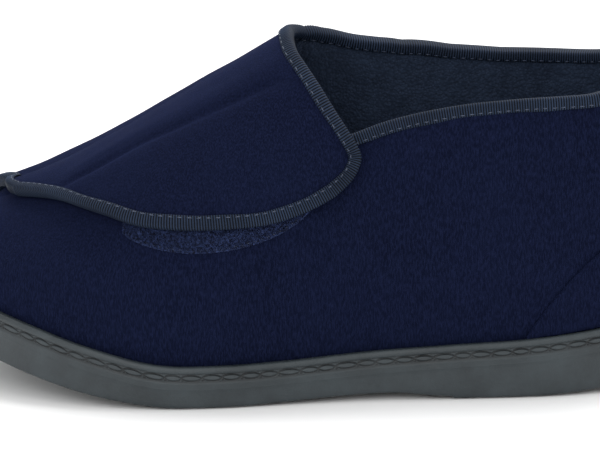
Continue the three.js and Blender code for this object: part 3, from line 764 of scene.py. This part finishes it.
# ---------------------------------------------------------------- ribbed binding and its stitches
# inset from the edge, face it follows (0 outer, 1 inner, 0.5 between them), height beyond that face
RIBBON_SECTION = [
    (3.95, 0, 0.1), (3.85, 0, 0.6), (3.45, 0, 0.84), (2.6, 0, 0.96), (1.4, 0, 1.04), (0.5, 0, 0.98),
    (-0.2, 0, 0.66), (-0.62, 0, 0.1), (-0.75, 0.5, 0), (-0.62, 1, 0.1), (-0.2, 1, 0.66),
    (0.5, 1, 0.9), (2.0, 1, 0.9), (3.2, 1, 0.8), (3.5, 1, 0.1), (0, 1, 0.05), (0, 0, 0.05),
]


def narrowing(spots):
    """Factor on the width of the ribbon, which narrows toward the front of the flap."""
    return 1 - 0.3 * smooth((spots[:, 0] - 9.2) / 1.2) * (spots[:, 1] < 1)


def ribbon(name, path, faces, replaced, slimmer=1.0):
    """Ribbed ribbon folded over the cloth's edge, with a row of stitches on each face."""
    spots, length = resample(path, RIB_PITCH / 6)
    steps = inward_steps(spots)
    narrow = narrowing(spots)
    rib = 0.5 + 0.5 * np.cos(length * 2 * math.pi / RIB_PITCH)
    wobble = 0.12 * np.sin(length / 7.3) + 0.1 * np.sin(length / 3.1 + 1)
    rows = []
    for inset, face, height in RIBBON_SECTION:
        reach = (inset + (wobble if inset > 3.3 else 0)) * narrow
        place = spots[:, 0] + steps[:, 0] * reach
        sweep = spots[:, 1] + steps[:, 1] * reach
        top, bottom = faces(place, sweep)
        proud = height * slimmer + (RIB_DEPTH * (rib - 0.5) if height > 0.5 else 0)
        offset = mix(top, bottom, face) + (0 if face == 0.5 else (proud if face == 0 else -proud))
        rows.append(over(place, sweep, offset))
    points = np.stack(rows, axis=1)
    rings, count = points.shape[:2]
    quads = grid_quads(rings, count, closed_columns=True)
    quads.append(tuple(range(count)))
    quads.append(tuple(reversed(range((rings - 1) * count, rings * count))))
    strip = make_object(name, points.reshape(-1, 3), quads, RIBBON)
    # the rib profile is also read by the ribbon material, which darkens the hollows between ribs as painted
    # shade
    strip.data.attributes.new("rib", "FLOAT", "POINT").data.foreach_set("value", np.repeat(rib, count))
    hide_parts(*replaced)
    thread = name.replace("binding", "thread")
    outer_row = stitches(thread, path, faces, 3.1, 0.98 * slimmer)
    inner_row = stitches(thread + "_inside", path, faces, 2.8, 0.86, inner=True)
    return strip, outer_row, inner_row


def stitches(name, path, faces, inset, height, pitch=STITCH_PITCH, length=1.9, thick=0.24, inner=False):
    """A row of sewn stitches lying on the cloth at an inset from a path."""
    samples = 8               # of the path in each stitch
    sides = 6
    fine, _ = resample(path, pitch / samples)
    steps = inward_steps(fine)
    inset = inset * narrowing(fine)
    place = fine[:, 0] + steps[:, 0] * inset
    sweep = fine[:, 1] + steps[:, 1] * inset
    top, bottom = faces(place, sweep)
    base, way = (bottom, -1) if inner else (top, 1)
    centre = over(place, sweep, base + way * height)
    lifted = over(place, sweep, base + way * (height + 1)) - centre
    points, quads = [], []
    half = int(length / pitch * samples / 2)
    for middle in range(samples // 2, len(fine) - samples // 2 - 1, samples):
        a, b = centre[middle - half], centre[middle + half]
        heading = (b - a) / np.linalg.norm(b - a)
        up = lifted[middle]
        side = np.cross(heading, up)
        slant = side * RANDOM.uniform(-0.12, 0.12)
        start = len(points)
        sections = (0, 0.12, 0.35, 0.65, 0.88, 1)
        for share in sections:
            spot = mix(a, b, share) + slant * (2 * share - 1) + up * (0.16 * math.sin(math.pi * share) - 0.12)
            girth = thick * (0.35 + 0.65 * math.sin(math.pi * min(max(share, 0.1), 0.9)))
            for turn in range(sides):
                angle = turn * 2 * math.pi / sides
                across = side * math.cos(angle) * girth * 0.8
                points.append(spot + across + up * math.sin(angle) * girth * 0.55)
        quads += grid_quads(len(sections), sides, start, closed_columns=True)
        quads.append(tuple(start + n for n in range(sides)))
        last = start + len(sections) * sides - 1
        quads.append(tuple(last - n for n in range(sides)))
    row = make_object(name, points, quads, THREAD)
    return row


def wrap_faces(place, sweep):
    """Offsets of the outer face and the inner face that the wrap's ribbon is folded over."""
    share = lift(place, sweep)
    return FLAP_TOP * share, mix(LINING_TOP - LINING, FLAP_LINING_TOP - FLAP_LINING, share)


def wall_faces(place, sweep):
    return edge_rise(place, sweep), np.full_like(place, LINING_TOP - LINING)


def build_bindings():
    seam = front_edge(np.linspace(SEAM_FOOT, FOLD_FRONT, 40))
    front = front_edge(mix(FOLD_FRONT, FRONT_HEM, np.linspace(0, 1, 60)))
    hem = along(HEM, np.linspace(0, len(HEM) - 1, 120))
    rear = along(REAR, np.linspace(len(REAR) - 1, 0, 110))
    place = np.linspace(FLAP_REAR, 0.0, 120)
    collar = np.stack([place, 2 - table(INNER_TOP, place)], axis=-1)
    path = np.concatenate([seam, front[1:], hem[1:], rear[1:], collar[1:]])
    for piece in ribbon("wrap_binding", path, wrap_faces, ["flap_binding", "seam_binding", "collar_binding"]):
        fold(piece)
    place = np.linspace(0.0, THROAT_RIBBON_END, 260)
    path = np.stack([place, table(OUTER_TOP, place)], axis=-1)
    for piece in ribbon("throat_and_collar_binding", path, wall_faces, ["throat_binding"], 0.9):
        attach(piece, "shoe")


# ---------------------------------------------------------------- hook and loop tapes, heel patch
def loop_spots(u, v):
    """Loop tape: u from its rear end to its front end, v from its low edge to its high edge."""
    bow = np.sqrt(np.maximum(1 - (2 * u - 1) ** 2, 0))
    low = 0.325 - 0.1 * bow + 0.085 * u
    high = 0.37 + 0.04 * bow + 0.06 * u
    return mix(6.7, 9.55, u), mix(low, high, v)


def small_arcs(name, place, sweep, base, span, height, thick, material, inward=False):
    """Many tiny yarn loops standing on the surface."""
    root = over(place, sweep, base)
    up = over(place, sweep, np.asarray(base) + 1) - root
    if inward:
        up = -up
    spin = RANDOM.uniform(0, 2 * math.pi, len(place))
    guess = np.stack([np.cos(spin), np.sin(spin), np.zeros_like(spin)], axis=-1)
    side = np.cross(up, guess)
    side /= np.linalg.norm(side, axis=1, keepdims=True)
    thick_way = np.cross(side, up)
    size = RANDOM.uniform(0.6, 1.25, len(place))[:, None]
    lean = RANDOM.uniform(-0.35, 0.35, len(place))[:, None]
    rings = []
    ring_count, sides = 7, 4
    for share in np.linspace(0, 1, ring_count):
        angle = share * math.pi
        spot = root + side * (math.cos(angle) * span * size) + up * (math.sin(angle) * height * size)
        spot = spot + thick_way * (lean * math.sin(angle) * height)
        outward = side * math.cos(angle) + up * math.sin(angle)
        rings.append(np.stack([spot + outward * thick, spot + thick_way * thick,
                               spot - outward * thick, spot - thick_way * thick], axis=1))
    points = np.stack(rings, axis=1)
    each = ring_count * sides
    ends = [tuple(range(sides)), tuple(range(each - 1, each - sides - 1, -1))]
    pattern = np.array(grid_quads(ring_count, sides, closed_columns=True) + ends)
    starts = np.arange(len(place)) * each
    faces = (pattern[None] + starts[:, None, None]).reshape(-1, 4)
    return make_object(name, points.reshape(-1, 3), faces.tolist(), material)


def build_loop_tape():
    u, v = np.meshgrid(np.linspace(0.004, 0.996, 90), np.linspace(0, 1, 24), indexing="ij")
    place, sweep = loop_spots(u, v)
    patch = np.stack([place, sweep], axis=-1)
    tape = cloth(
        "loop_tape", [patch],
        lambda p, s: over(p, s, 0.85 + 0.12 * ripple(over(p, s, 0), 3, 41)),
        lambda p, s: over(p, s, TAPE_GAP),
        LOOPS)
    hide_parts("loop_patch")
    loops = 5200
    u = RANDOM.uniform(0.01, 0.99, loops)
    v = RANDOM.uniform(0.03, 0.98, loops) ** 1.3
    place, sweep = loop_spots(u, v)
    fuzz = small_arcs("loop_tape_loops", place, sweep, 0.8, 0.46, 0.7, 0.075, LOOPS)
    edge_u = np.linspace(0.02, 0.98, 160)
    place, sweep = loop_spots(edge_u, np.zeros_like(edge_u))
    hem_path = np.stack([place, sweep], axis=-1)[::-1]
    seam = stitches("loop_tape_thread", hem_path, wall_faces, 1.0, 1.05, pitch=2.4, length=1.7, thick=0.2)
    for piece in (tape, fuzz, seam):
        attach(piece, "shoe")


def build_hook_tape():
    base = FLAP_LINING_TOP - FLAP_LINING - TAPE_GAP
    u, v = np.meshgrid(np.linspace(0.38, 0.8, 60), np.linspace(0.72, 0.86, 20), indexing="ij")
    patch = flap_spots(u, v)
    tape = cloth(
        "hook_tape", [patch],
        lambda p, s: over(p, s, base),
        lambda p, s: over(p, s, base - 0.45),
        HOOKS)
    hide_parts("hook_patch")
    u, v = np.meshgrid(np.linspace(0.39, 0.79, 58), np.linspace(0.73, 0.853, 21), indexing="ij")
    spots = flap_spots(u.ravel(), v.ravel())
    hooks = small_arcs(
        "hook_tape_hooks", spots[:, 0], spots[:, 1], base - 0.4, 0.22, 0.42, 0.06, HOOKS, inward=True)
    for piece in (tape, hooks):
        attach(piece, "flap")


def build_heel_patch():
    half = 3.93               # stations covered on each side of the heel
    low = 0.0135
    columns, rows = 190, 22
    lap = np.linspace(-half, half, columns)
    top = 0.0305 + 0.0955 * (1 - (np.abs(lap) / 3.75) ** 3.2)
    v = np.linspace(0, 1, rows)
    rise = low + np.maximum(top - low, 0.001)[:, None] * v[None, :]
    near_edge = hump((1 - v) / 0.06)

    def face(offset_middle, offset_edge):
        offset = offset_middle + (offset_edge - offset_middle) * near_edge
        return skin(*np.broadcast_arrays(lap[:, None], rise, offset[None, :])).reshape(-1, 3)

    total = columns * rows
    faces = grid_quads(columns, rows)
    faces += [tuple(c + total for c in reversed(quad)) for quad in grid_quads(columns, rows)]
    rim = [i * rows for i in range(columns)] + [(columns - 1) * rows + j for j in range(1, rows)]
    rim += [i * rows + rows - 1 for i in range(columns - 2, -1, -1)]
    rim += [j for j in range(rows - 2, 0, -1)]
    faces += [(rim[n - 1], rim[n - 1] + total, rim[n] + total, rim[n]) for n in range(len(rim))]
    points = np.concatenate([face(1.45, 0.75), face(0.4, 0.4)])
    patch = make_object("heel_panel", points, faces, VELOUR)
    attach(patch, "shoe")
    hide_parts("heel_patch")


# ---------------------------------------------------------------- sole and footbed
def side_rows():
    """Rows up the sole wall: (outward, follows 0 the tread or 1 the lip, height from it)."""
    rows = [(-3.0, 0, 0.0), (-0.8, 0, 0.0), (0.8, 0, 0.03), (1.4, 0, 0.18)]
    rows += [(1.75, 0, 0.5), (1.9, 0, 1.0), (1.98, 0, 2.0)]
    rows += [(mix(2.02, 2.3, t), 1, mix(-9.6, -8.3, t)) for t in np.linspace(0, 1, 4)]
    rows += [(2.36, 1, -8.15), (2.34, 1, -8.0), (2.36, 1, -7.85)]
    rows += [(mix(2.4, 2.6, t), 1, mix(-7.4, -5.9, t)) for t in np.linspace(0, 1, 4)]
    rows += [(2.62, 1, height) for height in np.linspace(CHAIN_LOW, CHAIN_HIGH, 25)]
    rows += [(3.0, 1, -2.35), (3.35, 1, -2.1), (LIP_OUT, 1, -1.6), (LIP_OUT, 1, -1.1), (3.35, 1, -0.5)]
    rows += [(3.0, 1, -0.12), (2.4, 1, 0.0), (1.4, 1, -0.05), (0.55, 1, -0.2), (0.2, 1, -0.7), (0.2, 1, -CUP)]
    return rows


def chain(phase, level):
    """Depth of the engraved outline of one link: phase along it and level across it, both -1 to 1."""
    slanted = phase - 0.16 * level
    slanted = np.where(slanted < -1, slanted + 2, np.where(slanted > 1, slanted - 2, slanted))
    girth = 0.74 * (1 - np.abs(slanted) ** 2.6)
    outline_depth = hump((np.abs(level) - girth) / 0.2)
    tails = hump((level + 0.16 + 0.5 * np.abs(slanted)) / 0.22) * smooth((np.abs(slanted) - 0.8) / 0.12)
    edges = 0.55 * hump((level + 0.98) / 0.16) + 0.4 * hump((level - 0.98) / 0.16)
    return np.maximum(np.maximum(outline_depth, tails), edges)


def build_outsole():
    lap = np.linspace(0, LAP, 2401)[:-1]
    x, y, _, _, _ = outline(lap, 3.0)
    loop = np.append(np.hypot(np.diff(x), np.diff(y)), math.hypot(x[0] - x[-1], y[0] - y[-1]))
    travelled = np.concatenate([[0], np.cumsum(loop)])[:-1]
    links = round(loop.sum() / CHAIN_PITCH)
    link = travelled / loop.sum() * links
    link = link + 0.09 * np.sin(link * 2.1) * np.sin(link * 0.37)
    phase = np.mod(link, 1) * 2 - 1
    uneven = 0.92 + 0.08 * np.sin(link * 1.3) + 0.06 * np.sin(link * 3.7)
    rows, painted_groove_shade = [], []
    foot_x, _, lip, _, _ = outline(lap)
    ground = tread(foot_x)
    middle, reach = (CHAIN_LOW + CHAIN_HIGH) / 2, (CHAIN_HIGH - CHAIN_LOW) / 2
    for outward, follows, height in side_rows():
        carved_and_shaded = np.zeros_like(lap)
        if follows and CHAIN_LOW <= height <= CHAIN_HIGH:
            carved_and_shaded = chain(phase, (height - middle) / reach) * uneven
        depth = -CHAIN_DEPTH * carved_and_shaded
        z = ground + height
        if follows:
            z = np.maximum(lip + height, ground + 2.6 + (height + 9.6) * 0.15)
        px, py, _, nx, ny = outline(lap, outward)
        rows.append(np.stack([px + nx * depth, py + ny * depth, z], axis=-1))
        # the engraved depth also goes into the colour, as painted shade in the link outlines
        painted_groove_shade.append(np.clip(carved_and_shaded, 0, 1) * 0.95)
    points = np.stack(rows, axis=1)
    count, height_rows = points.shape[:2]
    faces = grid_quads(count, height_rows, closed_rows=True)
    bottom, bottom_faces = sole_bottom(points[:, 0])
    floor, floor_faces = ladder(points[:, -1], 2, no_rise, False)
    start = count * height_rows
    faces += [tuple(c + start for c in face) for face in bottom_faces]
    start += len(bottom)
    faces += [tuple(c + start for c in face) for face in floor_faces]
    everything = np.concatenate([points.reshape(-1, 3), bottom, floor])
    sole = make_object("unit_sole", everything, faces, RUBBER)
    # painted shade: per-point engraved depth, which the rubber material turns into darker colour
    shade = np.zeros(len(everything))
    shade[:count * height_rows] = np.stack(painted_groove_shade, axis=1).ravel()
    sole.data.attributes.new("engraving_painted_shade", "FLOAT", "POINT").data.foreach_set("value", shade)
    weld(sole)
    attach(sole, "shoe")
    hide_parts("outsole")


def weld(obj):
    shape = bmesh.new()
    shape.from_mesh(obj.data)
    bmesh.ops.remove_doubles(shape, verts=shape.verts, dist=2e-6)
    bmesh.ops.recalc_face_normals(shape, faces=shape.faces)
    shape.to_mesh(obj.data)
    shape.free()
    obj.data.shade_smooth()


def no_rise(points):
    return np.zeros(points.shape[:-1])


def ladder(ring, across, height, turned):
    """Lid across a ring, from the outer side to the inner side, with a height added inside."""
    half = len(ring) // 2
    index = np.arange(half + 1)
    first, last = ring[index], ring[-index]
    share = np.linspace(0, 1, across + 1)[None, :, None]
    points = first[:, None] * (1 - share) + last[:, None] * share
    points[..., 2] += height(points)
    faces = grid_quads(half + 1, across + 1)
    if turned:
        faces = [tuple(reversed(face)) for face in faces]
    return points.reshape(-1, 3), faces


def sole_bottom(ring):
    def height(points):
        x, y = points[..., 0], points[..., 1]
        fore = np.array([-0.29, -0.25, -0.21, -0.17, -0.13, -0.09]) * LENGTH
        rear = np.array([0.24, 0.28, 0.32, 0.36, 0.4]) * LENGTH
        deep = np.zeros_like(x)
        for middle, half in [(m, FORE_GROOVE) for m in fore] + [(m, HEEL_GROOVE) for m in rear]:
            bar = smooth((1.35 - np.abs(x - middle)) / 0.4) * smooth((half - np.abs(y)) / 0.8)
            deep = np.maximum(deep, bar)
        return TREAD_GROOVE * deep

    return ladder(ring, 60, height, True)


def build_footbed():
    lap = np.linspace(0, LAP, 561)[:-1]
    edge = [
        (PAD_INSET + 0.5, PAD_LOW), (PAD_INSET, PAD_LOW + 0.6), (PAD_INSET, PAD_HIGH - 1.6),
        (PAD_INSET + 0.35, PAD_HIGH - 0.6), (PAD_INSET + 1.3, PAD_HIGH),
    ]
    rings = []
    for inset, level in edge:
        x, y, lip, _, _ = outline(lap, -inset)
        rings.append(np.stack([x, y, lip - CUP + level], axis=-1))
    points = np.stack(rings, axis=1)
    faces = grid_quads(len(lap), len(rings), closed_rows=True)

    def dished(p):
        width = np.abs(p[:, -1:, 1] - p[:, :1, 1])
        share = np.linspace(0, 1, p.shape[1])[None, :]
        nap = 0.18 * ripple(p, 4, 51) + 0.25 * ripple(p, 22, 52)
        inner = np.sin(math.pi * share)
        return -PAD_DISH * np.minimum(width / 60, 1) * inner + nap * (inner > 0.02)

    top, top_faces = ladder(points[:, -1], 50, dished, False)
    bottom, bottom_faces = ladder(points[:, 0], 2, no_rise, True)
    start = points.shape[0] * points.shape[1]
    faces += [tuple(c + start for c in face) for face in top_faces]
    faces += [tuple(c + start + len(top) for c in face) for face in bottom_faces]
    pad = make_object("footbed_pad", np.concatenate([points.reshape(-1, 3), top, bottom]), faces, TOWELLING)
    weld(pad)
    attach(pad, "shoe")
    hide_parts("footbed", "footbed_cover")


def dress_inner_boards():
    for name in ("insole_board", "heel_counter", "toe_puff"):
        node = frame["nodes"][name]
        for slot in node.material_slots:
            slot.material = BOARD


# ---------------------------------------------------------------- setting
def build_floor():
    material = bpy.data.materials.new("floor")
    material.use_nodes = True
    shader = material.node_tree.nodes["Principled BSDF"]
    shader.inputs["Base Color"].default_value = (0.93, 0.93, 0.93, 1)
    shader.inputs["Roughness"].default_value = 0.9
    shader.inputs["Specular IOR Level"].default_value = 0.1
    mesh = bpy.data.meshes.new("floor")
    reach = 12.0
    corners = [(-reach, -reach, 0), (reach, -reach, 0), (reach, reach, 0), (-reach, reach, 0)]
    mesh.from_pydata(corners, [], [(0, 1, 2, 3)])
    floor = bpy.data.objects.new("floor", mesh)
    mesh.materials.append(material)
    bpy.context.collection.objects.link(floor)
    floor.location.z = -0.0004      # just clear of the sole, in metres
    floor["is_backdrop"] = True


def add_light(name, place, target, size, power):
    data = bpy.data.lights.new(name, "AREA")
    data.size = size
    data.energy = power
    light = bpy.data.objects.new(name, data)
    light.location = place
    light.rotation_euler = (Vector(target) - Vector(place)).to_track_quat("-Z", "Y").to_euler()
    bpy.context.collection.objects.link(light)


def build_studio():
    world = bpy.data.worlds.new("studio")
    world.use_nodes = True
    background = world.node_tree.nodes["Background"]
    background.inputs["Color"].default_value = (1, 1, 1, 1)
    background.inputs["Strength"].default_value = 1.0
    bpy.context.scene.world = world
    middle = (0, 0, 0.05)
    add_light("top_light", (0.1, 0.35, 1.1), middle, size=0.8, power=12)
    add_light("front_light", (-0.2, -1.3, 0.6), middle, size=0.8, power=6)
    bpy.context.scene.view_settings.view_transform = "Standard"


def build_camera():
    elevation = math.radians(12)
    distance = 1000 * MM
    view_width = 204 * MM
    target = Vector((0.5 * MM, -50 * MM, 64.8 * MM))
    data = bpy.data.cameras.new("camera")
    data.sensor_width = 36
    data.lens = data.sensor_width * distance / view_width
    data.clip_end = 60
    camera = bpy.data.objects.new("camera", data)
    camera.location = target + Vector((0, -math.cos(elevation), math.sin(elevation))) * distance
    camera.rotation_euler = (math.radians(90) - elevation, 0, 0)
    bpy.context.collection.objects.link(camera)
    bpy.context.scene.camera = camera


build_camera()
build_studio()
build_floor()
build_outer_panel()
build_wrap()
build_linings()
build_bindings()
build_loop_tape()
build_hook_tape()
build_heel_patch()
build_outsole()
build_footbed()
dress_inner_boards()

visual_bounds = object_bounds()
plain = lambda pair: [[float(value) for value in corner] for corner in pair]
{"cad": plain(cad_bounds), "visual": plain(visual_bounds)}
